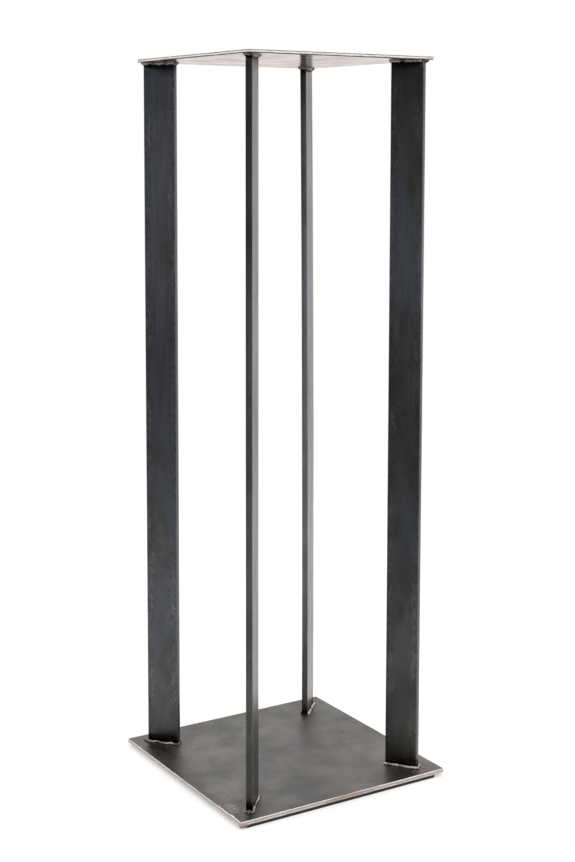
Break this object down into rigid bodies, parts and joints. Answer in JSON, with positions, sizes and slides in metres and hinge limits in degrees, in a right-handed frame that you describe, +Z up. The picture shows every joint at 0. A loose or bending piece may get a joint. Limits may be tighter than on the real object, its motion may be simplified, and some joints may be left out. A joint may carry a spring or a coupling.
{
  "type": "sculpture pedestal",
  "caption": "Tall open pedestal of dark hot-rolled steel: a square top plate on upright flat bars set corner to corner, welded to a larger square base plate.",
  "frame": {"origin": "on the floor, under the middle of the base plate", "axes": "+Z up; X and Y along the sides of the square plates; the front corner of the pedestal is at -X -Y"},
  "size_m": [0.3556, 0.3556, 1.0763],
  "materials": {
    "mill_scale_plate": "hot-rolled plate with dark mill scale, edges ground bright",
    "mill_scale_bar": "hot-rolled flat bar with blue-black mill scale, semi-gloss",
    "weld_metal": "as-welded bead, wire brushed",
    "floor_rubber": "matte black sheet rubber"
  },
  "bodies": {
    "root": {"floor_sheet": "floor_rubber", "base_plate": "mill_scale_plate", "top_plate": "mill_scale_plate", "leg_front": "mill_scale_bar", "leg_right": "mill_scale_bar", "leg_back": "mill_scale_bar", "leg_left": "mill_scale_bar", "weld_foot_front": "weld_metal", "weld_foot_right": "weld_metal", "weld_foot_back": "weld_metal", "weld_foot_left": "weld_metal", "weld_head_front": "weld_metal", "weld_head_right": "weld_metal", "weld_head_back": "weld_metal", "weld_head_left": "weld_metal"}
  },
  "joints": []
}
